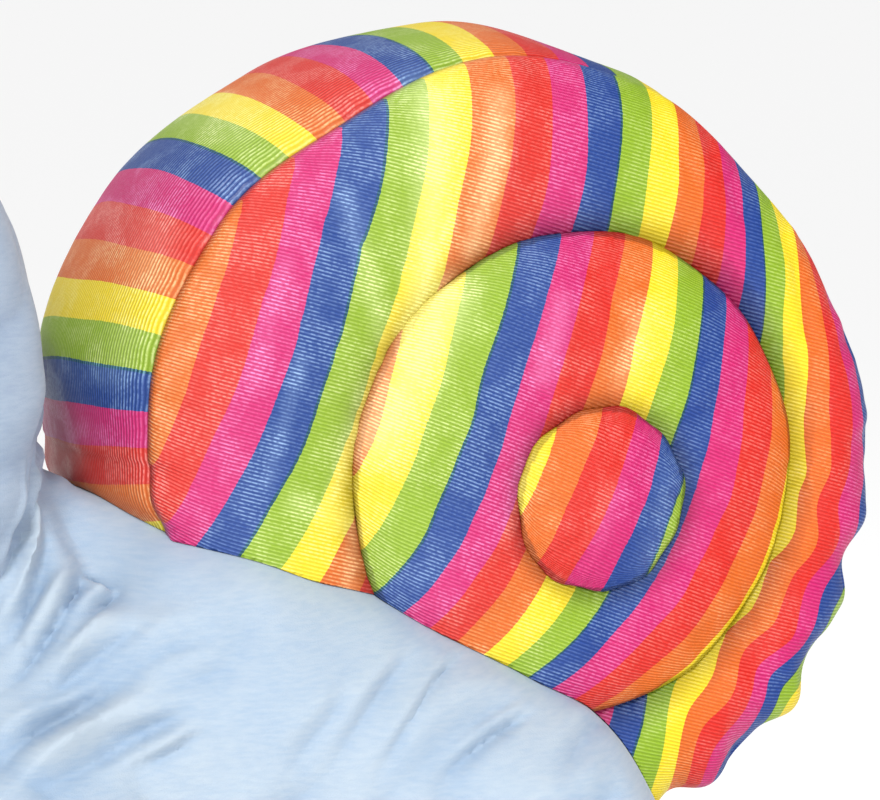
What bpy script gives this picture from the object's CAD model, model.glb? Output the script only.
import bpy
import numpy as np
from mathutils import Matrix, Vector


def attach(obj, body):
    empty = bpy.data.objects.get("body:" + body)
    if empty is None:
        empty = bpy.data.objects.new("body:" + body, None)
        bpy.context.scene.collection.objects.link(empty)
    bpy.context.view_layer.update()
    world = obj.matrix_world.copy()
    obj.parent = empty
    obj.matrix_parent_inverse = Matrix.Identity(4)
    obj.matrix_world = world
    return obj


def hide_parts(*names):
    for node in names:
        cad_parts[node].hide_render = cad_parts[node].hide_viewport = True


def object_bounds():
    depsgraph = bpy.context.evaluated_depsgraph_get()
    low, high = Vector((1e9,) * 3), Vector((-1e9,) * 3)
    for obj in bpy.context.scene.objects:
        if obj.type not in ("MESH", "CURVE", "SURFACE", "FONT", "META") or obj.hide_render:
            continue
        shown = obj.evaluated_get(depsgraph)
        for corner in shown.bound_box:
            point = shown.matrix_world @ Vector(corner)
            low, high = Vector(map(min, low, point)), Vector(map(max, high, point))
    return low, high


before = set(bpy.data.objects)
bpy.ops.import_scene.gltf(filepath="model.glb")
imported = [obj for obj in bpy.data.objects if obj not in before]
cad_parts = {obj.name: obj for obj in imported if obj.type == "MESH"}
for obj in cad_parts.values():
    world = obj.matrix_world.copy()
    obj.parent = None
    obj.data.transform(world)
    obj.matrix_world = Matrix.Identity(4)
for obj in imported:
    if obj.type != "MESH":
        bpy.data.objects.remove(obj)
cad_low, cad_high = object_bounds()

# The skin of the suit
# Stretch velour over torso, legs, sleeves and hood. It is drawn as one soft skin with its folds,
# which is parted along the seams further down, so that the cloth runs on from piece to piece.
MM = 0.001
BACK_RISE = 28.5  # from the inner face of the back to the plane the tables are drawn from

# Columns: x, y and z of a section's centre, lean of its plane in degrees, reach to the back and
# to the belly, half its width
TORSO = [
    (-120, 0, 42, 56, 50, 42, 50),
    (-106, 0, 16, 46, 58, 54, 60),
    (-88, 0, -13, 34, 66, 68, 80),
    (-60, 0, -42, 24, 86, 80, 99),
    (-22, 0, -64, 19, 98, 86, 108),
    (26, 0, -82, 18, 91, 88, 111),
    (74, 0, -99, 18, 82, 88, 114),
    (114, 0, -114, 20, 73, 84, 115),
    (141, 0, -130, 25, 57, 76, 108),
    (164, 0, -145, 33, 38, 62, 88),
    (180, 0, -155, 38, 21, 38, 55),
    (186, 0, -159, 40, 8, 14, 20),
]
THIGH = [
    (118, 52, -88, 97, 26, 26, 24),
    (117, 55, -104, 98, 50, 50, 44),
    (112, 60, -134, 98, 62, 62, 55),
    (104, 65, -190, 99, 58, 58, 53),
    (96, 67, -240, 99, 51, 51, 49),
    (90, 68, -282, 98, 46, 46, 45),
    (88, 68, -306, 94, 38, 38, 37),
    (87, 68, -321, 92, 19, 19, 18),
]
SHIN = [
    (58, 68, -287, 4, 18, 17, 18),
    (70, 68, -287, 4, 36, 33, 36),
    (94, 68, -286, 2, 45, 40, 45),
    (146, 67, -286, 0, 45, 40, 44),
    (201, 65, -289, 2, 40, 36, 40),
    (248, 63, -292, 4, 35, 33, 36),
]
SLEEVE = [
    (-74, 42, -20, 122, 28, 28, 20),
    (-84, 56, -38, 118, 46, 46, 34),
    (-97, 72, -68, 114, 50, 48, 42),
    (-116, 86, -116, 110, 46, 46, 43),
    (-139, 94, -184, 107, 41, 41, 40),
    (-158, 96, -254, 104, 36, 36, 36),
]
HOOD = [
    (-98, 0, -34, 54, 36, 44, 44),
    (-118, 0, 0, 58, 48, 58, 56),
    (-138, 0, 26, 68, 69, 70, 74),
    (-158, 0, 54, 80, 91, 78, 88),
    (-171, 0, 84, 88, 102, 84, 95),
    (-175, 0, 114, 90, 103, 88, 95),
    (-177, 0, 144, 90, 94, 84, 87),
    (-179, 0, 169, 90, 71, 68, 69),
    (-180, 0, 185, 90, 43, 45, 45),
    (-181, 0, 192, 90, 14, 16, 16),
]
TORSO_POWER = 2.5
PLAIN_POWER = 2.1
HEM_RUN = 16  # how far a tube is drawn past its open hem, before it is cut off there


def eased(table, u):
    """The table's rows at u from 0 to 1. Between two rows each column is a cubic, whose slope at a row
    is half the difference of the rows beside it."""
    rows = np.array(table, float)
    place = np.asarray(u, float) * (len(rows) - 1)
    i = np.minimum(place.astype(int), len(rows) - 2)
    t = (place - i)[..., None]
    back, here, ahead, beyond = (rows[np.clip(i + k, 0, len(rows) - 1)] for k in (-1, 0, 1, 2))
    rise = 3 * t**2 - 2 * t**3
    slopes = (t**3 - 2 * t**2 + t) * (ahead - back) / 2 + (t**3 - t**2) * (beyond - here) / 2
    return (1 - rise) * here + rise * ahead + slopes


def tube(table, u, turn, power, side=1):
    """Points on the tube through a table of sections, at u along it and turn round it. The point lies
    |cos|^(2/power) of half to the side and |sin|^(2/power) of back or belly up the leaning plane."""
    x, y, z, lean, back, belly, half = np.moveaxis(eased(table, u), -1, 0)
    c, s = np.cos(turn), np.sin(turn)
    across = np.sign(c) * abs(c) ** (2 / power) * half
    rise = np.sign(s) * abs(s) ** (2 / power) * np.where(s > 0, back, belly)
    lean = np.radians(lean)
    points = (x + np.sin(lean) * rise, side * (y + across), z - BACK_RISE + np.cos(lean) * rise)
    return np.stack(points, -1) * MM


def tube_grid(table, steps, around, power, side=1, run=0):
    """A grid of tube points, one ring a row, with a last ring pushed on along the axis by run."""
    u = np.linspace(0, 1, steps + 1)[:, None]
    turn = np.linspace(0, 2 * np.pi, around, endpoint=False)[None, :]
    grid = tube(table, u, turn, power, side)
    if run:
        axis = grid[-1].mean(0) - grid[-2].mean(0)
        ahead = grid[-1] + axis / np.linalg.norm(axis) * run * MM
        grid = np.concatenate([grid, ahead[None]])
    return grid


def grid_faces(rings, around):
    """Four-cornered faces of a closed grid, each from a point, its neighbour in the ring and the same
    two in the next ring, and one face over each end ring."""
    index = np.arange(rings * around).reshape(rings, around)
    beside = np.roll(index, -1, 1)
    sides = np.stack([index[:-1], beside[:-1], beside[1:], index[1:]], -1).reshape(-1, 4)
    return sides.tolist() + [index[0, ::-1].tolist(), index[-1].tolist()]


def faces_out(grid):
    """Whether a closed grid's faces look outward: their centres, seen from the middle of all the
    points, run with the cross products of their diagonals."""
    beside = np.roll(grid, -1, 1)
    a, b, c, d = grid[:-1], beside[:-1], beside[1:], grid[1:]
    centres = (a + b + c + d) / 4 - grid.mean((0, 1))
    return (centres * np.cross(c - a, d - b)).sum() > 0

def mesh_piece(name, points, faces):
    """A smooth shaded mesh object at the origin."""
    mesh = bpy.data.meshes.new(name)
    mesh.from_pydata(points, [], faces)
    mesh.shade_smooth()
    piece = bpy.data.objects.new(name, mesh)
    bpy.context.scene.collection.objects.link(piece)
    return piece


def worked_out(piece, kept=None):
    """Points and triangles of an object with its modifiers worked out, and the values of an attribute
    to keep. The object is then taken away."""
    mesh = piece.evaluated_get(bpy.context.evaluated_depsgraph_get()).to_mesh()
    mesh.calc_loop_triangles()
    points = np.empty(len(mesh.vertices) * 3, np.float32)
    faces = np.empty(len(mesh.loop_triangles) * 3, np.int32)
    mesh.vertices.foreach_get("co", points)
    mesh.loop_triangles.foreach_get("vertices", faces)
    result = [points.reshape(-1, 3).astype(float), faces.reshape(-1, 3)]
    if kept:
        values = np.empty(len(mesh.vertices), np.float32)
        mesh.attributes[kept].data.foreach_get("value", values)
        result.append(values)
    bpy.data.objects.remove(piece)
    return result


def keep_values(piece, name, values):
    """Gives an object's points a value each, for its material to read."""
    piece.data.attributes.new(name, "FLOAT", "POINT").data.foreach_set("value", values.astype(np.float32))


def normals_of(points, faces):
    """At each point, the sum of the area normals of the triangles round it, made one long."""
    a, b, c = (points[faces[:, k]] for k in range(3))
    areas = np.cross(b - a, c - a)
    total = np.stack(
        [np.bincount(faces.ravel(), np.repeat(areas[:, k], 3), len(points)) for k in range(3)], 1
    )
    return total / np.maximum(np.linalg.norm(total, axis=1, keepdims=True), 1e-12)


def smooth(value, low, high):
    """0 below low, 1 above high, and 3t² - 2t³ between them."""
    t = np.clip((value - low) / (high - low), 0, 1)
    return t * t * (3 - 2 * t)


tubes = [tube_grid(TORSO, 48, 120, TORSO_POWER), tube_grid(HOOD, 36, 96, PLAIN_POWER)]
for side in (-1, 1):
    tubes += [
        tube_grid(THIGH, 28, 64, PLAIN_POWER, side),
        tube_grid(SHIN, 24, 64, PLAIN_POWER, side, HEM_RUN),
        tube_grid(SLEEVE, 28, 64, PLAIN_POWER, side, HEM_RUN),
    ]
tube_points, tube_faces = [], []
for grid in tubes:
    start = sum(len(p) for p in tube_points)
    faces = [[start + k for k in face] for face in grid_faces(*grid.shape[:2])]
    tube_points.append(grid.reshape(-1, 3))
    tube_faces += faces if faces_out(grid) else [face[::-1] for face in faces]

SKIN_CUBES = 4.4 * MM
wrapped = mesh_piece("suit skin", np.concatenate(tube_points), tube_faces)
wrap = wrapped.modifiers.new("Wrap", "REMESH")
wrap.mode = "VOXEL"
wrap.voxel_size = SKIN_CUBES
ease = wrapped.modifiers.new("Ease", "SMOOTH")
ease.factor = 0.5
ease.iterations = 10
finer = wrapped.modifiers.new("Finer", "SUBSURF")
finer.levels = finer.render_levels = 1
skin, skin_faces = worked_out(wrapped)
skin_normals = normals_of(skin, skin_faces)
skin += skin_normals * 0.9 * MM  # the easing draws the skin in by about this much


def height_over(points, grid):
    """Each point's distance above a tube: the offset from the nearest point of its grid, measured along
    the grid's normal there."""
    along = np.gradient(grid, axis=0)
    across = np.roll(grid, -1, 1) - np.roll(grid, 1, 1)
    normal = np.cross(along, across)
    outward = np.sign((normal * (grid - grid.mean(1, keepdims=True))).sum())
    normal = (normal * outward).reshape(-1, 3)
    normal /= np.maximum(np.linalg.norm(normal, axis=1, keepdims=True), 1e-12)
    marks = grid.reshape(-1, 3)
    nearest = np.concatenate([
        (((marks**2).sum(1)[None] - 2 * part @ marks.T)).argmin(1)
        for part in np.array_split(points, max(1, len(points) // 8000))
    ])
    return ((points - marks[nearest]) * normal[nearest]).sum(1)


# Seam lines, as values that pass zero there, in metres
SIDE_SEAM = [
    (-230, 100), (-128, 32), (-98, -22), (-92, -66), (-64, -100), (-10, -102), (44, -106),
    (84, -126), (98, -190), (92, -256), (100, -280), (120, -286), (330, -294),
]  # x and z, seen from the side: shoulder, armhole, hip, knee and hem
SET_IN = 4  # sleeve and hood seams lie this far out from the torso
TORSO_FROM = -36  # behind this x all of the skin above the legs is torso
FACE_PLANE = 208  # the face opening lies in a plane this far in front of the origin
FACE_LEAN = 8  # and leans by this many degrees


def side_seam_value(points):
    """Distance in x and z from the nearest stretch of the side seam, above zero behind it."""
    line = np.array(SIDE_SEAM, float) * MM - [0, BACK_RISE * MM]
    flat = points[:, [0, 2]]
    best = np.full(len(points), np.inf)
    value = np.zeros(len(points))
    for a, b in zip(line[:-1], line[1:]):
        run = b - a
        t = np.clip(((flat - a) @ run) / (run @ run), 0, 1)
        off = flat - (a + t[:, None] * run)
        distance = np.hypot(*off.T)
        sign = np.sign(run[0] * off[:, 1] - run[1] * off[:, 0])
        closer = distance < best - 1e-9
        best = np.where(closer, distance, best)
        value = np.where(closer, distance * sign, value)
    return value


def hem_value(points, table):
    """Distance up the tube from its last section's plane, on either side of the body."""
    x, y, z, lean = (float(k) for k in eased(table, 1.0)[:4])
    before = eased(table, 0.98)
    way = np.array([before[0] - x, before[2] - z])
    plane = np.array([np.cos(np.radians(lean)), -np.sin(np.radians(lean))])
    plane *= np.sign(plane @ way)
    return (points[:, [0, 2]] - np.array([x, z - BACK_RISE]) * MM) @ plane


def evened(values, faces, turns):
    """Values at the points, each made the mean of its neighbours' values, turn after turn."""
    edges = np.concatenate([faces[:, [0, 1]], faces[:, [1, 2]], faces[:, [2, 0]]])
    count = np.bincount(edges[:, 0], minlength=len(values))
    for _ in range(turns):
        values = np.bincount(edges[:, 0], values[edges[:, 1]], len(values)) / count
    return values


near_arm = np.nonzero(skin[:, 0] < (TORSO_FROM + 12) * MM)[0]
over_torso = np.full(len(skin), -0.02)
over_torso[near_arm] = height_over(skin[near_arm], tube_grid(TORSO, 72, 132, TORSO_POWER)[:34])
over_torso = evened(over_torso, skin_faces, 14)
limb = np.minimum(over_torso - SET_IN * MM, TORSO_FROM * MM - skin[:, 0])
hood_rather = np.zeros(len(skin))
raised = near_arm[over_torso[near_arm] > -0.003]
right_side = skin[raised] * [1, -1, 1]
right_side[:, 1] = abs(right_side[:, 1])
over_sleeve = height_over(right_side, tube_grid(SLEEVE, 20, 40, PLAIN_POWER, 1, HEM_RUN))
hood_rather[raised] = over_sleeve - height_over(skin[raised], tube_grid(HOOD, 22, 56, PLAIN_POWER))
hood_rather = evened(hood_rather, skin_faces, 6)
side_value = evened(side_seam_value(skin), skin_faces, 10)
shin_value = hem_value(skin, SHIN)
shin_value[skin[:, 2] > -0.18] = 0.1
sleeve_value = hem_value(skin, SLEEVE)
face_from = FACE_PLANE + (skin[:, 2] / MM + BACK_RISE) * np.tan(np.radians(FACE_LEAN))
face_value = skin[:, 0] + face_from * MM

# Folds from point to point on the wearer's left, in mm: x, y, z at both ends, bow to the side,
# width and depth. A minus depth makes a ridge. The right side has its own, a little shifted.
BODY_FOLDS = [
    (-99, -64, 32, -111, -64, -26, -4.2, 5, 3.5),
    (-86, -47, 36, -112, -67, -33, -2.9, 6, -3.5),
    (-85, -52, 13, -113, -71, -43, -2.3, 5.5, 5),
    (-84, -67, -8, -116, -76, -51, -2.5, 7, -4.5),
    (-76, -65, -4, -116, -78, -52, -2.8, 6, 8),
    (-76, -65, -4, -64, -74, -9, -0.5, 4.5, 4.5),
    (-64, -74, -9, -96, -76, -39, -1.4, 5.5, 6),
    (-70, -78, -16, -103, -83, -55, 1.0, 8, -4),
    (-59, -84, -28, -107, -87, -58, 1.7, 10, 5.5),
    (-38, -91, -34, -86, -79, -56, 0.4, 10, 4),
    (-72, -86, -56, -127, -99, -78, 6.0, 5, 3.5),
    (-62, -92, -53, -125, -105, -85, 2.9, 7, -5),
    (-48, -96, -62, -121, -107, -86, -0.7, 8, 4.5),
    (-50, -98, -67, -88, -101, -80, -1.8, 6, -3),
    (-43, -99, -70, -74, -97, -84, 0.2, 5, 3),
    (-30, -98, -46, -63, -93, -57, 1.2, 7, 2.2),
    (16, -102, -59, -14, -105, -88, 0.4, 7, 2.6),
    (48, -88, -49, 1, -108, -90, 2.4, 6, 3),
    (74, -78, -53, 22, -109, -92, 3.8, 3.5, 2.6),
    (93, -89, -70, 34, -109, -93, 1.2, 11, 3.6),
    (99, -91, -75, 47, -110, -97, 1.7, 4.5, 4.4),
    (-14, -85, -23, -45, -98, -65, -0.5, 15, 2.2),
    (138, -72, -87, 103, -108, -101, 3.5, 7, 2.5),
    (0, -110, -90, -40, -100, -140, 3, 14, 3),
    (30, -112, -96, -8, -104, -150, -4, 11, 3.2),
    (60, -112, -100, 22, -106, -160, 3, 13, 3.4),
    (134, -100, -104, 84, -112, -128, -4, 13, 3.8),
    (160, -84, -128, 112, -112, -150, 3, 10, 3),
    (-70, -50, -150, -30, -84, -160, 3, 12, 3),
    (10, -40, -190, 30, -84, -176, -3, 12, 3),
    (52, -20, -200, 66, -74, -184, 3, 9, 4),
]
# On a tube: u and turn in degrees at both ends, bow, width and depth
THIGH_FOLDS = [
    (0.16, -95, 0.22, -20, 3, 9, 4),
    (0.26, -80, 0.30, -14, -2, 7, 3),
    (0.40, -60, 0.46, 10, 3, 13, 3),
    (0.56, 74, 0.60, 8, 3, 9, 3.6),
    (0.64, 70, 0.70, -6, -3, 8, 4.4),
    (0.72, 62, 0.80, -16, 2, 7, 3.4),
    (0.62, -40, 0.70, -100, 3, 12, 2.6),
    (0.58, 110, 0.62, 168, 3, 9, 3.6),
    (0.68, 116, 0.74, 182, -3, 8, 4),
    (0.22, 200, 0.30, 250, 3, 10, 3),
]
SHIN_FOLDS = [
    (0.42, 96, 0.36, 8, 3, 8, 4),
    (0.50, 88, 0.46, 0, -3, 9, 3),
    (0.60, 70, 0.56, -30, 3, 12, 2.4),
    (0.74, 100, 0.68, 20, -3, 9, 2.6),
    (0.86, 60, 0.82, -30, 2, 8, 2.2),
    (0.44, 100, 0.38, 176, 3, 8, 3.6),
    (0.62, 110, 0.58, 190, -3, 10, 2.6),
    (0.84, 120, 0.80, 200, 3, 9, 2.2),
    (0.50, -60, 0.44, -120, 3, 12, 2),
]
SLEEVE_FOLDS = [
    (0.30, -80, 0.42, 10, 4, 12, 4),
    (0.36, 60, 0.48, -30, -4, 9, 3.4),
    (0.50, 96, 0.56, 4, 3, 10, 3.4),
    (0.58, -10, 0.64, -100, 4, 9, 3),
    (0.66, 70, 0.74, -20, -3, 11, 3),
    (0.80, 30, 0.86, -70, 3, 8, 2.4),
    (0.90, 100, 0.94, 10, 2, 7, 2),
    (0.46, 120, 0.54, 200, 3, 10, 3),
    (0.70, 130, 0.76, 220, -3, 9, 2.6),
]
HOOD_FOLDS = [
    (0.20, 120, 0.17, 40, 4, 8, 4),
    (0.27, 100, 0.23, 12, -3, 8, 4),
    (0.33, 130, 0.30, 30, 3, 10, 3.4),
    (0.24, 20, 0.30, -50, 3, 9, 3.4),
    (0.42, 70, 0.34, 0, -4, 13, 3),
    (0.58, 50, 0.40, -18, 5, 16, 2.4),
    (0.72, 80, 0.52, 30, -5, 16, 2),
    (0.80, 20, 0.60, -30, 5, 15, 2),
    (0.88, 110, 0.70, 84, 4, 14, 1.8),
]
TUBE_FOLDS = ((THIGH, THIGH_FOLDS), (SHIN, SHIN_FOLDS), (SLEEVE, SLEEVE_FOLDS), (HOOD, HOOD_FOLDS))
FOLD_GAIN = 1.15  # on every depth
FOLD_REACH = 26  # a fold dies away this far above or below the cloth it lies in
UNEVEN = np.random.default_rng(7)


def fold_lines():
    """All folds as rows of two end points, bow, width and depth, in metres. A tube's folds are given in
    its own terms and put on both sides. The right side's differ by a few millimetres, and by up to a
    fifth in depth."""
    rows = []
    for side in (-1, 1):
        table = np.array(BODY_FOLDS)
        lines = [table * [1, -side, 1, 1, -side, 1, -side, 1, 1] * MM]
        for shape, folds in TUBE_FOLDS:
            f = np.array(folds)
            a = tube(shape, f[:, 0], np.radians(f[:, 1]), PLAIN_POWER, side)
            b = tube(shape, f[:, 2], np.radians(f[:, 3]), PLAIN_POWER, side)
            lines.append(np.concatenate([a, b, f[:, 4:] * MM], 1))
        lines = np.concatenate(lines)
        if side > 0:
            lines[:, :6] += UNEVEN.uniform(-5, 5, (len(lines), 6)) * MM
            lines[:, 7:] *= UNEVEN.uniform(0.8, 1.2, (len(lines), 2))
        rows.append(lines)
    return np.concatenate(rows)


def fold_depth(points, normals):
    """How far the folds press each point in. off is the distance from a fold's line within the cloth,
    after the line is bowed. The depth is a bell of off over the width, less a wider and lower bell
    beside it, and it fades at the ends and away from the cloth's surface."""
    total = np.zeros(len(points))
    for row in fold_lines():
        a, b, (bow, wide, deep) = row[:3], row[3:6], row[6:]
        run = b - a
        length = np.linalg.norm(run)
        reach = length / 2 + 3 * wide
        near = np.nonzero(((points - (a + b) / 2) ** 2).sum(1) < reach**2)[0]
        p, n = points[near], normals[near]
        t = (p - a) @ run / length**2
        away = p - (a + np.clip(t, 0, 1)[:, None] * run)
        across = np.cross(run / length, n)
        off = (away * across).sum(1) - bow * (1 - (2 * np.clip(t, 0, 1) - 1) ** 2)
        lift = (away * n).sum(1)
        width = wide * (0.7 + 0.6 * np.clip(t, 0, 1))
        beside = np.exp(-2 * ((off - 1.3 * width) / (0.9 * width)) ** 2)
        bell = np.exp(-1.9 * abs(off / width) ** 1.3) - 0.5 * beside
        ends = smooth(t, -0.1, 0.3) * smooth(1 - t, -0.15, 0.45)
        total[near] += FOLD_GAIN * deep * bell * ends * np.exp(-((lift / (FOLD_REACH * MM)) ** 2))
    return total


def swell(points):
    """The loose cloth's slow rise and fall: a few long waves, each a sine of a slanted distance."""
    waves = UNEVEN.normal(0, 1, (7, 3))
    waves /= np.linalg.norm(waves, axis=1, keepdims=True)
    lengths = UNEVEN.uniform(34, 80, 7) * MM
    rises = (np.sin(points @ w * 2 * np.pi / s + 5 * k) for k, (w, s) in enumerate(zip(waves, lengths)))
    return sum(rises) * 0.32 * MM


def groove(distance, width, deep):
    """A sewn-in line: a bell of the distance from it."""
    return deep * MM * np.exp(-((distance / (width * MM)) ** 2))


skin_normals = normals_of(skin, skin_faces)
folded = fold_depth(skin, skin_normals)
depth = folded + swell(skin)
# The back dips between hood and shell: x of the dip, its half width and depth
DIP = (-70, 17, 17)
dip = np.exp(-(((skin[:, 0] / MM - DIP[0]) / DIP[1]) ** 2)) * smooth(skin[:, 2], -0.04, 0.0)
dip *= 1 - 0.4 * smooth(skin[:, 2], 0.0, 0.04)
depth += DIP[2] * MM * dip
ripple = np.sin(skin @ [620, 410, 730]) * np.sin(skin @ [-300, 520, 250])
depth += groove(skin[:, 1], 2.2, 0.9) * (1 + 0.5 * ripple)
on_limb = (limb > 0) & (over_torso > 0.002)
depth += np.where(on_limb, 0, groove(side_value, 2.2, 0.9) * (1 + 0.5 * ripple))
depth += groove(np.where(over_torso > -0.01, limb, 1), 2.4, 0.25)
HEM = 13  # from a hem's edge to its stitches
face_edge = np.where(on_limb & (hood_rather > 0), face_value, 1)
for value in (shin_value, sleeve_value, face_edge):
    depth += groove(value - HEM * MM, 1.3, 0.7)
depth += groove(face_edge - 8 * MM, 4, -0.9)
skin -= skin_normals * depth[:, None]
SHELL_GAP = 0.4  # between the back and the shell that lies on it
shell_bed = skin + normals_of(skin, skin_faces) * SHELL_GAP * MM
marked = np.column_stack([
    skin, limb, hood_rather, side_value, skin[:, 1], shin_value, sleeve_value, face_value,
    np.clip(folded / (4 * MM), -1, 1) + 0.7 * dip,
])
LIMB_SIDE, HOOD_SIDE, BACK_SIDE, RIGHT, SHIN_HEM, SLEEVE_HEM, BEHIND_FACE, FOLDED = range(3, 11)


def only_used(points, faces):
    """The triangles with only the points that they use, numbered afresh."""
    used, faces = np.unique(faces, return_inverse=True)
    return points[used], faces.reshape(-1, 3)

ON_LINE = 0.25  # points this near a seam count as on it

def part_along(points, faces, column, sign=1):
    """Keeps the triangles where sign times a column of the points is above zero, and those that lie on
    the line itself where the sign is plus. A triangle that the zero line crosses is parted there: its
    lone corner's side gives one triangle and the other side two. All columns run straight between
    points."""
    value = points[:, column] * sign
    value = np.where(abs(value) < ON_LINE * MM, 0.0, value)
    inside = (value > 0)[faces]
    count = inside.sum(1)
    kept = [faces[(count == 3) | (sign > 0) & (value[faces] == 0).all(1)]]
    new_points = [points]
    start = len(points)
    for lone in (1, 2):
        crossed = faces[count == lone]
        flags = inside[count == lone]
        first = (flags if lone == 1 else ~flags).argmax(1)
        a, b, c = (np.take_along_axis(crossed, ((first + k) % 3)[:, None], 1)[:, 0] for k in range(3))
        ends = np.concatenate([np.sort([a, b], 0), np.sort([a, c], 0)], 1).T
        edges, which = np.unique(ends, axis=0, return_inverse=True)
        which = which.reshape(-1)
        va, vb = value[edges[:, 0]], value[edges[:, 1]]
        share = (va / np.where(va == vb, 1, va - vb))[:, None]
        new_points.append(points[edges[:, 0]] * (1 - share) + points[edges[:, 1]] * share)
        ab, ac = start + which[: len(a)], start + which[len(a):]
        start += len(edges)
        if lone == 1:
            kept.append(np.stack([a, ab, ac], 1))
        else:
            kept += [np.stack([ab, b, c], 1), np.stack([ab, c, ac], 1)]
    return only_used(np.concatenate(new_points), np.concatenate(kept))


def biggest(points, faces):
    """True for the triangles of the largest joined part. Each point starts with its own number, and
    takes the least among its triangles' points until all of a part have the same."""
    label = np.arange(len(points))
    while True:
        least = label.copy()
        np.minimum.at(least, faces.ravel(), np.repeat(label[faces].min(1), 3))
        least = least[least]
        if (least == label).all():
            break
        label = least
    part = label[faces[:, 0]]
    return part == np.bincount(part).argmax()


def shader_group(name, inputs, outputs):
    """A shader node group with sockets of the names and kinds given. Gives it with its input and output
    nodes."""
    group = bpy.data.node_groups.new(name, "ShaderNodeTree")
    for way, sockets in (("INPUT", inputs), ("OUTPUT", outputs)):
        for socket, kind in sockets.items():
            group.interface.new_socket(socket, in_out=way, socket_type=f"NodeSocket{kind}")
    return group, group.nodes.new("NodeGroupInput"), group.nodes.new("NodeGroupOutput")

def maths(group, operation, *values, clamp=False):
    """A maths node's output, from numbers and other nodes' outputs in the order of its inputs."""
    node = group.nodes.new("ShaderNodeMath")
    node.operation, node.use_clamp = operation, clamp
    for socket, value in zip(node.inputs, values):
        if isinstance(value, (int, float)):
            socket.default_value = value
        else:
            group.links.new(value, socket)
    return node.outputs["Value"]

def noise_mask(group, place, scale, detail, low, high, least, most):
    """Noise stretched so that low gives least and high gives most."""
    noise, mask = group.nodes.new("ShaderNodeTexNoise"), group.nodes.new("ShaderNodeMapRange")
    noise.inputs["Scale"].default_value = scale
    noise.inputs["Detail"].default_value = detail
    for socket, value in (("From Min", low), ("From Max", high), ("To Min", least), ("To Max", most)):
        mask.inputs[socket].default_value = value
    group.links.new(place, noise.inputs["Vector"])
    group.links.new(noise.outputs["Fac"], mask.inputs["Value"])
    return mask.outputs["Result"]

def mixed(group, share, first, second):
    """Two nodes' colours mixed by a share of the second."""
    mix = group.nodes.new("ShaderNodeMix")
    mix.data_type = "RGBA"
    for socket, value in (("Factor", share), ("A", first), ("B", second)):
        group.links.new(value, mix.inputs[socket])
    return mix.outputs["Result"]

def pile_group():
    """Short brushed pile. Fine noise makes its fibres, and wide noise lays patches of it one way or the
    other, which tints it between lit and shaded cloth. Creases are shaded and ridges lit."""
    group, given, out = shader_group(
        "Brushed pile", {"Lit": "Color", "Shaded": "Color", "Crease": "Float"}, {"Color": "Color", "Height": "Float"}
    )
    n, link = group.nodes, group.links.new
    place = n.new("ShaderNodeTexCoord").outputs["Object"]
    stretch, fibre = n.new("ShaderNodeMapping"), n.new("ShaderNodeTexNoise")
    stretch.inputs["Rotation"].default_value = (0.2, 0.7, 0.3)
    stretch.inputs["Scale"].default_value = (150, 70, 700)
    link(place, stretch.inputs["Vector"])
    fibre.inputs["Scale"].default_value = 1500
    link(place, fibre.inputs["Vector"])
    patches = noise_mask(group, place, 26, 3, 0.30, 0.75, 0, 0.45)
    brushed = noise_mask(group, stretch.outputs["Vector"], 1, 2, 0.35, 0.68, 0, 0.32)
    streak = maths(group, "ADD", brushed, patches)
    sunk = maths(group, "MULTIPLY_ADD", given.outputs["Crease"], 0.45, streak, clamp=True)
    link(mixed(group, sunk, given.outputs["Lit"], given.outputs["Shaded"]), out.inputs["Color"])
    link(fibre.outputs["Fac"], out.inputs["Height"])
    return group

def velour(name, lit, shaded):
    """Velour in a tint: pile colour, a soft sheen at grazing angles, and the pile's height as a fine bump."""
    material = bpy.data.materials.new(name)
    material.use_nodes = True
    n, link = material.node_tree.nodes, material.node_tree.links.new
    shader = n["Principled BSDF"]
    shader.inputs["Roughness"].default_value = 0.88
    shader.inputs["Specular IOR Level"].default_value = 0.25
    shader.inputs["Sheen Weight"].default_value = 0.12
    shader.inputs["Sheen Roughness"].default_value = 0.4
    shader.inputs["Sheen Tint"].default_value = (0.94, 0.97, 1.0, 1)
    pile = n.new("ShaderNodeGroup")
    pile.node_tree = PILE
    pile.inputs["Lit"].default_value = lit
    pile.inputs["Shaded"].default_value = shaded
    crease = n.new("ShaderNodeAttribute")
    crease.attribute_name = "Crease"
    link(crease.outputs["Fac"], pile.inputs["Crease"])
    bump = n.new("ShaderNodeBump")
    bump.inputs["Strength"].default_value = 0.35
    bump.inputs["Distance"].default_value = 0.4 * MM
    link(pile.outputs["Color"], shader.inputs["Base Color"])
    link(pile.outputs["Height"], bump.inputs["Height"])
    link(bump.outputs["Normal"], shader.inputs["Normal"])
    return material


PILE = pile_group()
CLOTH = 2.0 * MM  # velour with its turned seams


def cloth_panel(node, points, faces, material, slot, seamed_to):
    """A panel of cloth: the parted skin, with points closer than 0.2 mm made one, its thickness laid on
    inside, and its cut edges kept sharp."""
    flat_piece = mesh_piece("panel", points[:, :3], faces)
    keep_values(flat_piece, "Crease", points[:, FOLDED])
    weld = flat_piece.modifiers.new("Weld", "WELD")
    weld.merge_threshold = 0.2 * MM
    wall = flat_piece.modifiers.new("Cloth", "SOLIDIFY")
    wall.thickness = CLOTH
    wall.offset = -1
    skin_points, skin_triangles, crease = worked_out(flat_piece, "Crease")
    piece = mesh_piece(f"{node}_cloth", skin_points, skin_triangles)
    keep_values(piece, "Crease", crease)
    piece.data.set_sharp_from_angle(angle=np.radians(65))
    piece.data.materials.append(material)
    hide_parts(node)
    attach(piece, "root")


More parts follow.
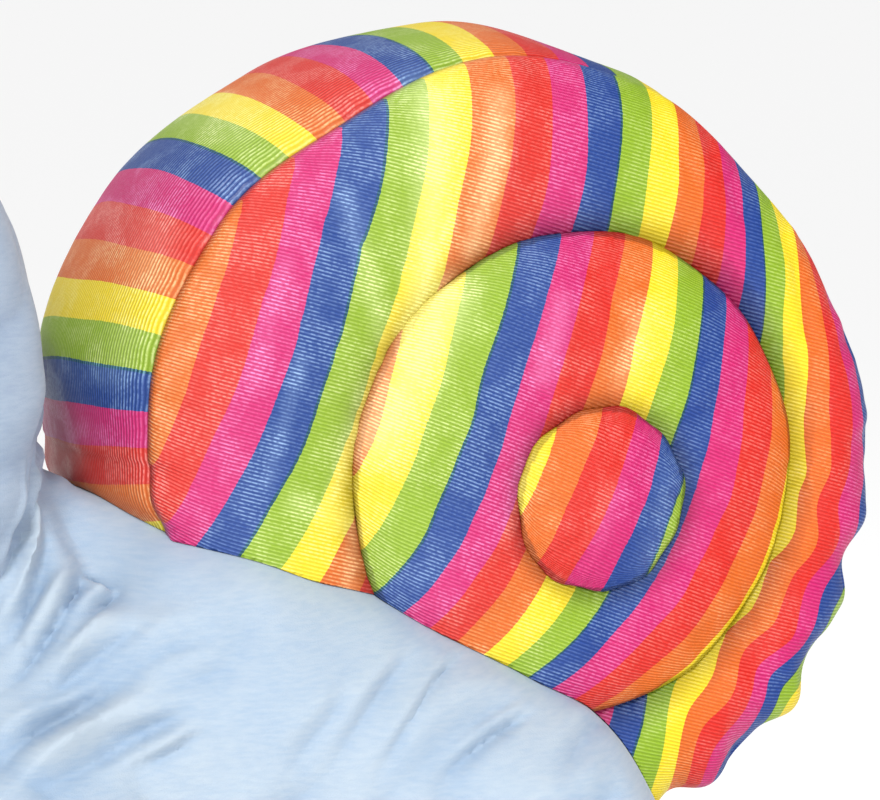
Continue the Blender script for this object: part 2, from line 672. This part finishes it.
# Back and front of the suit
# Four panels of pale blue velour, left and right, front and back, each running down into its
# leg. They are sewn along the middle and along the sides, with the legs open at their hems.
pale_blue = velour("Pale blue velour", (0.39, 0.46, 0.53, 1), (0.27, 0.365, 0.49, 1))
body_skin = part_along(marked, skin_faces, LIMB_SIDE, -1)
body_skin = part_along(*body_skin, SHIN_HEM)
for name, sign in (("left", -1), ("right", 1)):
    half_skin = part_along(*body_skin, RIGHT, sign)
    back_points, back_faces = part_along(*half_skin, BACK_SIDE)
    front_points, front_faces = part_along(*half_skin, BACK_SIDE, -1)
    # The back runs on over the shoulder, between hood and sleeve, to where these two meet
    front = biggest(front_points, front_faces)
    back_faces = np.concatenate([back_faces, front_faces[~front] + len(back_points)])
    back_skin = only_used(np.concatenate([back_points, front_points]), back_faces)
    cloth_panel(f"back_{name}", *back_skin, pale_blue, "velour", [f"front_{name}", "shell_strip"])
    front_skin = only_used(front_points, front_faces[front])
    cloth_panel(f"front_{name}", *front_skin, pale_blue, "velour", [f"back_{name}"])

# Sleeves
# One velour piece each, closed along the underarm, set into the armhole and open at the wrist.
limb_skin = part_along(marked, skin_faces, LIMB_SIDE)
arms_skin = part_along(*part_along(*limb_skin, HOOD_SIDE, -1), SLEEVE_HEM)
for name, sign in (("left", -1), ("right", 1)):
    side_skin = part_along(*arms_skin, RIGHT, sign)
    cloth_panel(f"sleeve_{name}", *side_skin, pale_blue, "velour", [f"back_{name}", f"front_{name}"])

# Hood
# Two sides of the same velour, a little greyer where the pile lies the other way, sewn over the
# head from forehead to neck and hemmed round the face opening.
greyer_blue = velour("Hood velour", (0.34, 0.41, 0.50, 1), (0.23, 0.30, 0.415, 1))
hood_skin = part_along(*part_along(*limb_skin, HOOD_SIDE), BEHIND_FACE)
for name, sign in (("left", -1), ("right", 1)):
    side_skin = part_along(*hood_skin, RIGHT, sign)
    cloth_panel(f"hood_{name}", *side_skin, greyer_blue, "hood_velour", [f"back_{name}", f"front_{name}"])

# Strip of the shell
# A broad strip of striped ribbed satin velour, loosely filled, round the shell between its two
# faces. It is sewn to both and gathered at the tail, and its ends are caught in the back seam.
SHELL_X = 110
SHELL_Z = 56 - BACK_RISE
SHELL_R = 159
STRIP_REACH = 56.7
# Angle up from +X, how far the edge seams lie outside the circle, how far the strip swells past
RIM = np.array([
    (-180, 0, 13), (-166, -5, 7), (-65, 5, 6), (-45, 7, 6), (-25, 1, 5), (0, -3, 5), (25, -12, 4),
    (45, -15, 5), (70, -9, 9), (95, -5, 12), (120, -9, 20), (145, -1, 21), (165, 2, 19), (180, 0, 13),
], float)
# The rounds of each face: centre, radius, level they are sewn at, edge and top above it
FACE = dict(x=SHELL_X, z=SHELL_Z, r=SHELL_R, floor=57, rim=4, crown=17)
MIDDLE = dict(x=SHELL_X + 20, z=SHELL_Z - 13, r=97, floor=63.3, rim=3, crown=12)
CENTRE = dict(x=SHELL_X + 29, z=SHELL_Z - 23, r=37, floor=69.6, rim=2, crown=10)
STRIPE = 6  # colours in a repeat
STRIPE_COLOURS = [
    (0.000, (0.66, 0.112, 0.007)),  # orange
    (1.000, (0.60, 0.013, 0.007)),  # red
    (2.000, (0.53, 0.008, 0.120)),  # pink
    (3.000, (0.008, 0.040, 0.225)),  # blue
    (3.955, (0.002, 0.045, 0.090)),  # the dark line where blue runs into green
    (4.015, (0.230, 0.375, 0.012)),  # green
    (5.000, (0.800, 0.600, 0.008)),  # yellow
]
RIB = 1.45  # from rib to rib
# Where the pile has been pressed flat and shines pale, on either side of the shell: x and z at
# both ends of a streak in mm, its half width and how pale it is
PRESSED = [
    (66, 166, 62, 88, 13, 0.95), (94, 165, 83, 108, 9, 0.85), (28, 128, 44, 74, 9, 0.6),
    (36, 52, 20, 6, 8, 0.6), (6, 12, 32, 0, 9, 0.6), (2, 104, -12, 60, 8, 0.5),
    (72, 88, 42, 34, 15, 1.0), (119, 84, 111, 56, 9, 0.65), (155, 76, 147, 54, 9, 0.65),
    (104, 20, 96, -6, 10, 0.45), (166, 12, 158, -22, 11, 0.4), (140, 10, 134, -8, 9, 0.4),
    (70, 118, 52, 62, 8, 0.85), (34, -2, 26, -34, 8, 0.6), (8, 66, -6, 20, 7, 0.55),
    (-36, 118, -44, 98, 10, 0.7), (-52, 78, -58, 60, 9, 0.6), (-6, 152, 8, 166, 12, 0.6),
    (60, 194, 84, 198, 12, 0.5), (-62, 30, -62, 14, 9, 0.3),
]


def rim_at(turn):
    """Edge seam and swell at angles in degrees. Between two rows of the table both ease over as 3t² -
    2t³. The gathers below the tail are added to the seam."""
    i = np.clip(np.searchsorted(RIM[:, 0], turn) - 1, 0, len(RIM) - 2)
    t = smooth(turn, RIM[i, 0], RIM[i + 1, 0])
    seam = RIM[i, 1] * (1 - t) + RIM[i + 1, 1] * t
    crown = RIM[i, 2] * (1 - t) + RIM[i + 1, 2] * t
    return seam + 3.4 * gathers(turn) + 0.9 * np.sin(np.radians(turn) * 41 + 1) * smooth(-turn, 2, 16), crown


def gathers(turn):
    """The gathers' rise and fall by the angle in degrees: a sine with a turn every 15.7 degrees, from
    just below the tail to the back of the suit."""
    return np.sin(np.radians(turn) * 23 + 0.17) * smooth(-turn, 2, 16) * smooth(turn, -88, -62)


def stripe_print():
    """Six printed colours by U, the count of stripes, which a little noise makes uneven at the edges.
    Each repeat is U over six, less its whole part, on a stepped ramp."""
    group, given, out = shader_group("Rainbow stripes", {"Stripe": "Float", "Run": "Vector"}, {"Color": "Color"})
    n, link = group.nodes, group.links.new
    noise, ramp = n.new("ShaderNodeTexNoise"), n.new("ShaderNodeValToRGB")
    noise.inputs["Scale"].default_value = 900
    link(given.outputs["Run"], noise.inputs["Vector"])
    bleed = maths(group, "MULTIPLY_ADD", noise.outputs["Fac"], 0.05, given.outputs["Stripe"])
    part = maths(group, "FRACT", maths(group, "DIVIDE", bleed, STRIPE))
    ramp.color_ramp.interpolation = "CONSTANT"
    stops = ramp.color_ramp.elements
    for k, (place, colour) in enumerate(STRIPE_COLOURS):
        stop = stops[k] if k < 2 else stops.new(place / STRIPE)
        stop.position = place / STRIPE
        stop.color = (*colour, 1)
    link(part, ramp.inputs["Fac"])
    link(ramp.outputs["Color"], out.inputs["Color"])
    return group

def rib_group():
    """Ribs of satin pile by V, the count of ribs. The height is a raised cosine, and the grooves are
    darker. A pale line of broken dashes runs along each top, stronger by Pressed, and comes and goes in
    patches. Pressed also pales all the pile, and Sunk darkens it. The pale colour is the stripe's own
    to the power of a quarter."""
    inputs = {"Color": "Color", "Rib": "Float", "Pressed": "Float", "Sunk": "Float", "Wear": "Float"}
    group, given, out = shader_group("Satin ribs", inputs, {"Color": "Color", "Height": "Float", "Roughness": "Float"})
    n, link = group.nodes, group.links.new
    colour, rib, pressed, sunk, wear = (given.outputs[name] for name in inputs)
    place = n.new("ShaderNodeTexCoord").outputs["Object"]
    dashes = noise_mask(group, place, 640, 1, 0.36, 0.60, 0.30, 1)
    patches = noise_mask(group, place, 58, 2, 0.44, 0.56, 0.35, 1)
    wave = maths(group, "COSINE", maths(group, "MULTIPLY", rib, 2 * np.pi))
    lifted = maths(group, "MULTIPLY_ADD", wave, 0.5, 0.5)
    not_sunk = maths(group, "SUBTRACT", 1, sunk)
    shade = maths(group, "MULTIPLY", maths(group, "MULTIPLY_ADD", lifted, 0.28, 0.78), not_sunk)
    darker = n.new("ShaderNodeVectorMath")
    darker.operation = "SCALE"
    link(colour, darker.inputs[0])
    link(shade, darker.inputs["Scale"])
    line = maths(group, "MULTIPLY", maths(group, "POWER", lifted, 1.9), dashes)
    for strength in (patches, not_sunk, maths(group, "MULTIPLY_ADD", pressed, 1.25, 0.2), wear):
        line = maths(group, "MULTIPLY", line, strength)
    veil = maths(group, "MULTIPLY", maths(group, "MULTIPLY", pressed, pressed), 0.45)
    worn = maths(group, "ADD", line, veil, clamp=True)
    pale = n.new("ShaderNodeGamma")
    pale.inputs["Gamma"].default_value = 0.25
    link(colour, pale.inputs["Color"])
    link(mixed(group, worn, darker.outputs["Vector"], pale.outputs["Color"]), out.inputs["Color"])
    link(maths(group, "ADD", lifted, maths(group, "MULTIPLY", dashes, 0.3)), out.inputs["Height"])
    link(maths(group, "MULTIPLY_ADD", patches, -0.15, 0.52), out.inputs["Roughness"])
    return group

def satin(name, wear):
    """Striped ribbed satin velour, from the piece's own UV map: U counts stripes and V counts ribs."""
    material = bpy.data.materials.new(name)
    material.use_nodes = True
    n, link = material.node_tree.nodes, material.node_tree.links.new
    shader = n["Principled BSDF"]
    shader.inputs["Specular IOR Level"].default_value = 0.25
    uv, split, place = n.new("ShaderNodeUVMap"), n.new("ShaderNodeSeparateXYZ"), n.new("ShaderNodeTexCoord")
    uv.uv_map = "Stripes and ribs"
    link(uv.outputs["UV"], split.inputs["Vector"])
    stripes, ribs = n.new("ShaderNodeGroup"), n.new("ShaderNodeGroup")
    stripes.node_tree, ribs.node_tree = STRIPES, RIBS
    ribs.inputs["Wear"].default_value = wear
    for way in ("Pressed", "Sunk"):
        lay = n.new("ShaderNodeAttribute")
        lay.attribute_name = f"{way} pile"
        link(lay.outputs["Fac"], ribs.inputs[way])
    bump = n.new("ShaderNodeBump")
    bump.inputs["Strength"].default_value = 0.6
    bump.inputs["Distance"].default_value = 0.35 * MM
    link(split.outputs["X"], stripes.inputs["Stripe"])
    link(place.outputs["Object"], stripes.inputs["Run"])
    link(stripes.outputs["Color"], ribs.inputs["Color"])
    link(split.outputs["Y"], ribs.inputs["Rib"])
    link(ribs.outputs["Color"], shader.inputs["Base Color"])
    link(ribs.outputs["Roughness"], shader.inputs["Roughness"])
    link(ribs.outputs["Height"], bump.inputs["Height"])
    link(bump.outputs["Normal"], shader.inputs["Normal"])
    return material


def pressed_pile(p):
    """How flat the pile lies at points in mm: by the nearest streak, its strength times a bell of the
    distance in x and z from it, and never less than it is all over, which falls toward the tail."""
    flat = 0.30 - 0.22 * smooth(p[:, 0], 70, 180)
    for x, z, x2, z2, wide, strength in PRESSED:
        run = np.array([x2 - x, z2 - z], float)
        off = p[:, [0, 2]] - [x, z]
        off -= np.clip(off @ run / (run @ run), 0, 1)[:, None] * run
        flat = np.maximum(flat, strength * np.exp(-((off**2).sum(1) / wide**2) ** 0.8))
    return flat


def sunk_pile(p):
    """How dark the pile lies at points in mm, down in the ditch round each disc: a half bell of the
    distance out from the disc's edge."""
    dark = np.zeros(len(p))
    for disc, wide in ((MIDDLE, 8), (CENTRE, 6)):
        out = np.hypot(p[:, 0] - disc["x"], p[:, 2] - disc["z"]) - disc["r"]
        in_ditch = (out > -1.6) & (abs(p[:, 1]) < disc["floor"] + 9)
        dark = np.maximum(dark, 0.5 * np.exp(-((out / wide) ** 2)) * in_ditch)
    return dark


def stuffed_piece(node, rings, stripe_map, material):
    """A closed stuffed piece over rings of points, with what lies inside the suit cut away. stripe_map
    gives U and V at its points."""
    solid = mesh_piece("solid", rings.reshape(-1, 3), grid_faces(*rings.shape[:2]))
    if not faces_out(rings):
        solid.data.flip_normals()
    bed = mesh_piece("bed", shell_bed, skin_faces)
    cut = solid.modifiers.new("Seat on the back", "BOOLEAN")
    cut.object, cut.operation, cut.solver = bed, "DIFFERENCE", "MANIFOLD"
    points, faces = worked_out(solid)
    _, which, copies = np.unique(np.sort(faces, 1), axis=0, return_inverse=True, return_counts=True)
    faces = faces[copies[which.reshape(-1)] == 1]  # slivers back to back at the cut come out in pairs
    bpy.data.objects.remove(bed)
    piece = mesh_piece(f"{node}_stuffed", points, faces)
    uv = piece.data.uv_layers.new(name="Stripes and ribs")
    uv.data.foreach_set("uv", stripe_map(points / MM)[faces.ravel()].astype(np.float32).ravel())
    keep_values(piece, "Pressed pile", pressed_pile(points / MM))
    keep_values(piece, "Sunk pile", sunk_pile(points / MM))
    piece.data.materials.append(material)
    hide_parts(node)
    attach(piece, "root")


STRIPES = stripe_print()
RIBS = rib_group()
turns = np.linspace(-180, 180, 540, endpoint=False)
across = np.linspace(-1, 1, 49)[:, None]
seam, crown = rim_at(turns)
near_seam = np.exp(-(1 - abs(across)) * STRIP_REACH / 9)
ease_in = np.sin(np.radians(turns) * 57 + 2 * np.sin(np.radians(turns) * 5)) * np.sin(np.radians(turns) * 31)
strip_r = SHELL_R - 1 + seam + crown * (1 - across**2) ** 0.65 + near_seam * ease_in * 0.5
strip_r += 0.8 * np.sin(np.radians(turns) * 9 + across * 2.4) * (1 - across**2)
strip_rings = np.stack([
    SHELL_X + np.cos(np.radians(turns)) * strip_r,
    across * STRIP_REACH + 0 * strip_r,
    SHELL_Z + np.sin(np.radians(turns)) * strip_r,
], -1) * MM


def wander(along, across):
    """How the stripes waver by a share of their width: two slow sines of the way along them, in mm,
    whose phase shifts from stripe to stripe."""
    return 0.035 * np.sin(along / 19 + across * 1.3) + 0.018 * np.sin(along / 8 - across * 2.1 + 1)


def strip_stripes(p):
    """U falls evenly with the angle round the shell, with a small slant across the strip. V is the
    distance across the strip in ribs."""
    turn = np.degrees(np.arctan2(p[:, 2] - SHELL_Z, p[:, 0] - SHELL_X))
    turn = np.where(turn < -95, turn + 360, turn) / 100
    u = 35.67 - 18.82 * turn + (0.54 * turn - 0.53) * p[:, 1] / 100
    return np.stack([u + 0.8 * wander(p[:, 1], u), p[:, 1] * 1.04 / RIB], 1)


stuffed_piece("shell_strip", strip_rings, strip_stripes, satin("Strip satin", 1.1))

# Faces of the shell
# A round face on either side, stuffed into a plump ring and sewn down to a ditch inside it.
DITCH = 6  # height of the sewn ditch above a tier's own floor
# Creases across the rounds: x and z at both ends, half width and depth
CREASES = [
    (6, 128, 52, 98, 3.5, 1.5), (-12, 95, 23, 70, 3.5, 1.1), (165, 155, 181, 127, 4, 1.2),
    (185, 150, 202, 116, 4, 1.4), (224, 107, 233, 68, 4, 1.7), (200, -28, 230, -50, 6, 2.0),
    (186, -56, 226, -80, 6, 2.2), (137, 94, 152, 66, 4, 1.1), (54, 60, 38, 8, 4, 1.1), (88, 172, 96, 140, 4, -0.9),
]
# Powers of x down the rows and of z along them, of 100 mm from the tier's centre
FACE_STRIPES = [
    (8.69, -1.88, 1.97, -0.62, -0.7, 0.38),
    (4.94, 0.46, 0.83, -0.58, 0.07, 0),
    (1.29, -0.17, 0.24, -0.37, 0, 0),
    (0.82, 0.4, -0.08, 0, 0, 0),
    (-0.07, 0.3, 0, 0, 0, 0),
    (-0.06, 0, 0, 0, 0, 0),
]
MIDDLE_STRIPES = [(-5.55, 2.53, -1.74, 1.34), (-6.22, -0.67, 0.37, 0), (-0.58, -0.85, 0, 0), (0.03, 0, 0, 0)]
CENTRE_STRIPES = [(2.04, -2.74, -0.18), (5.95, 0.54, 0), (-0.55, 0, 0)]


def tier_rings(tier, inner, hand, wavy, around, steps):
    """Rings of a stuffed tier from its outer seam in to the next tier's seam, or to its middle. The
    height swells as sin(pi t) between the two seams, raised to about 0.6, or as sin(pi t / 2)^0.75 up
    to the middle, and small puckers die away from each seam. Each crease takes off a bell of the
    distance from its line."""
    turn = np.linspace(-180, 180, around, endpoint=False)
    a = np.radians(turn)
    way = np.stack([np.cos(a), np.sin(a)], -1)
    r = tier["r"] + (rim_at(turn)[0] if wavy else 0.6 * np.sin(a * 5 + 1) + 0.5 * np.sin(a * 11))
    edge = np.array([tier["x"], tier["z"]]) + way * np.broadcast_to(r, turn.shape)[:, None]
    if inner:
        end = np.array([inner["x"], inner["z"]]) + way * (inner["r"] - 1.5)
    else:
        end = np.array([tier["x"], tier["z"]]) + way * 0.4
    t = np.linspace(0, 1, steps + 1)[:, None]
    t = t - np.sin(2 * np.pi * t) * 0.11  # closer rings near both seams
    width = np.hypot(*(edge - end).T)
    flat = edge * (1 - t[..., None]) + end * t[..., None]
    level = tier["rim"] + (DITCH - tier["rim"]) * t if inner else tier["rim"]
    bulge = np.sin(np.pi * np.clip(t, 0, 1)) ** (0.62 - 0.04 * t) if inner else np.sin(np.pi * t / 2) ** 0.75
    height = level + (tier["crown"] - level) * bulge
    puckers = np.sin(a * 41 + 2 * np.sin(a * 3)) + 0.7 * np.sin(a * 67 + np.sin(a * 8)) + 0.6 * np.sin(a * 23)
    height = height + (0.7 if wavy else 0.25) * puckers * np.exp(-t * width / 8) * smooth(t, 0, 0.03)
    if inner:
        rim_puckers = (0.5 if wavy else 0.15) * np.roll(puckers, 17)
        height += rim_puckers * np.exp(-(1 - t) * width / 10) * smooth(1 - t, 0, 0.03)
    loose = np.sin(np.pi * t) * (1 if inner else (1 - t) ** 2)
    height = height + loose * (0.9 * np.sin(a * 7 + 3 * t) + 0.5 * np.sin(a * 16 - 5 * t))
    if wavy:
        height = height + 1.8 * gathers(turn + 4) * np.exp(-t * width / 20) * smooth(t, 0, 0.06)
    for x, z, x2, z2, wide, deep in CREASES:
        run = np.array([x2 - x, z2 - z], float)
        off = flat - [x, z]
        off = off - np.clip(off @ run / (run @ run), 0, 1)[..., None] * run
        height = height - loose * deep * np.exp(-(off**2).sum(-1) / wide**2)
    rings = np.stack([flat[..., 0], height, flat[..., 1]], -1)
    floor = rings[:1] * [1, 0, 1]
    rings = np.concatenate([floor, rings])
    rings[..., 1] = hand * (rings[..., 1] + tier["floor"])
    return rings * MM


def tier_stripes(tier, bend, way):
    """The map of a tier. U is a sum of powers of x and z from its centre, and V the distance along the
    stripes in ribs, to which the fall of the outer edge is added."""
    def stripe_map(p):
        x, z = (p[:, 0] - tier["x"]) / 100, (p[:, 2] - tier["z"]) / 100
        u = np.polynomial.polynomial.polyval2d(x, z, np.array(bend, float))
        u = u + 0.3 * gathers(np.degrees(np.arctan2(z, x))) * smooth(np.hypot(x, z), 1.0, 1.5)
        fall = np.maximum(tier["floor"] + tier["crown"] - abs(p[:, 1]), 0)
        out = np.hypot(x, z) * 100
        along = (way[0] * x + way[1] * z) * 100
        ribs = along + fall * smooth(out, 0.8 * tier["r"], tier["r"]) * along / np.maximum(out, 1)
        waver = wander(along + abs(p[:, 1]) * 0.25, u) * (1 + 3 * smooth(x, 0.85, 1.25))
        return np.stack([u + waver, ribs / RIB], 1)
    return stripe_map


def both_sides(name, tier, inner, wavy, counts, stripe_map, wear):
    """A tier's stuffed pieces on either side of the shell, in one satin."""
    material = satin(f"{name.capitalize()} satin", wear)
    for side, hand in (("left", -1), ("right", 1)):
        rings = tier_rings(tier, inner, hand, wavy, *counts)
        stuffed_piece(f"shell_{name}_{side}", rings, stripe_map, material)

face_map = tier_stripes(FACE, FACE_STRIPES, (0.29, 0.957))
both_sides("face", FACE, MIDDLE, True, (640, 56), face_map, 1.1)

# Middle discs
# A second round of the same cloth on each face, with the stripes turned the other way round.
middle_map = tier_stripes(MIDDLE, MIDDLE_STRIPES, (0.374, 0.927))
both_sides("middle", MIDDLE, CENTRE, False, (420, 44), middle_map, 1.1)

# Centre discs
# A small stuffed round in the middle of each spiral.
centre_map = tier_stripes(CENTRE, CENTRE_STRIPES, (0.42, 0.907))
both_sides("centre", CENTRE, None, False, (220, 30), centre_map, 1.0)

# Floor, light and camera
# A plain pale floor, broad soft lights, and the camera at the wearer's left and a little behind.
FLOOR_REACH = 60  # metres from its middle to each side
corners = np.array([(-1, -1, 0), (1, -1, 0), (1, 1, 0), (-1, 1, 0)], float) * FLOOR_REACH
floor = mesh_piece("floor", corners + [0, 0, cad_low.z - 0.001], [(0, 1, 2, 3)])
pale = bpy.data.materials.new("Pale floor")
pale.use_nodes = True
matt = pale.node_tree.nodes["Principled BSDF"].inputs
matt["Base Color"].default_value = (0.97, 0.97, 0.97, 1)
matt["Roughness"].default_value = 0.9
floor.data.materials.append(pale)

VIEW_TURN, VIEW_DOWN = np.radians(-25), np.radians(7)
DISTANCE = 1.8
GRAIN = 0.41 * MM  # one picture point, at that distance
FRAME_WIDTH = 880 * GRAIN
look = Vector((
    -np.sin(VIEW_TURN) * np.cos(VIEW_DOWN), np.cos(VIEW_TURN) * np.cos(VIEW_DOWN), -np.sin(VIEW_DOWN)
))
right = Vector((np.cos(VIEW_TURN), np.sin(VIEW_TURN), 0))
up = right.cross(look)
target = Vector((SHELL_X, 0, SHELL_Z)) * MM - right * 19.5 * GRAIN + up * 25.5 * GRAIN
camera = bpy.data.objects.new("camera", bpy.data.cameras.new("camera"))
bpy.context.scene.collection.objects.link(camera)
camera.data.sensor_width = 36
camera.data.lens = 36 * DISTANCE / FRAME_WIDTH
camera.location = target - look * DISTANCE
camera.rotation_euler = look.to_track_quat("-Z", "Y").to_euler()
bpy.context.scene.camera = camera

middle_point = Vector((0.02, 0, -0.08))
# Kind, place, size and power of each light. The sun is broad, and gives the floor one even tone.
for kind, place, size, power in (
    ("SUN", (-0.6, -1.0, 1.2), 0.22, 2.5),
    ("AREA", (0.1, -1.6, 0.0), 0.8, 12),
    ("AREA", (0.2, 0.5, 1.9), 1.2, 7),
    ("AREA", (-0.6, 1.6, 0.9), 1.4, 4),
):
    lamp = bpy.data.objects.new("soft light", bpy.data.lights.new("soft light", kind))
    if kind == "SUN":
        lamp.data.angle = size
    else:
        lamp.data.size = size
    lamp.data.energy = power
    lamp.location = place
    lamp.rotation_euler = (middle_point - Vector(place)).to_track_quat("-Z", "Y").to_euler()
    bpy.context.scene.collection.objects.link(lamp)
world = bpy.data.worlds.new("room")
world.use_nodes = True
sky = world.node_tree.nodes["Background"].inputs
sky["Color"].default_value = (1, 1, 1, 1)
sky["Strength"].default_value = 0.40
bpy.context.scene.world = world
bpy.context.scene.view_settings.view_transform = "Standard"
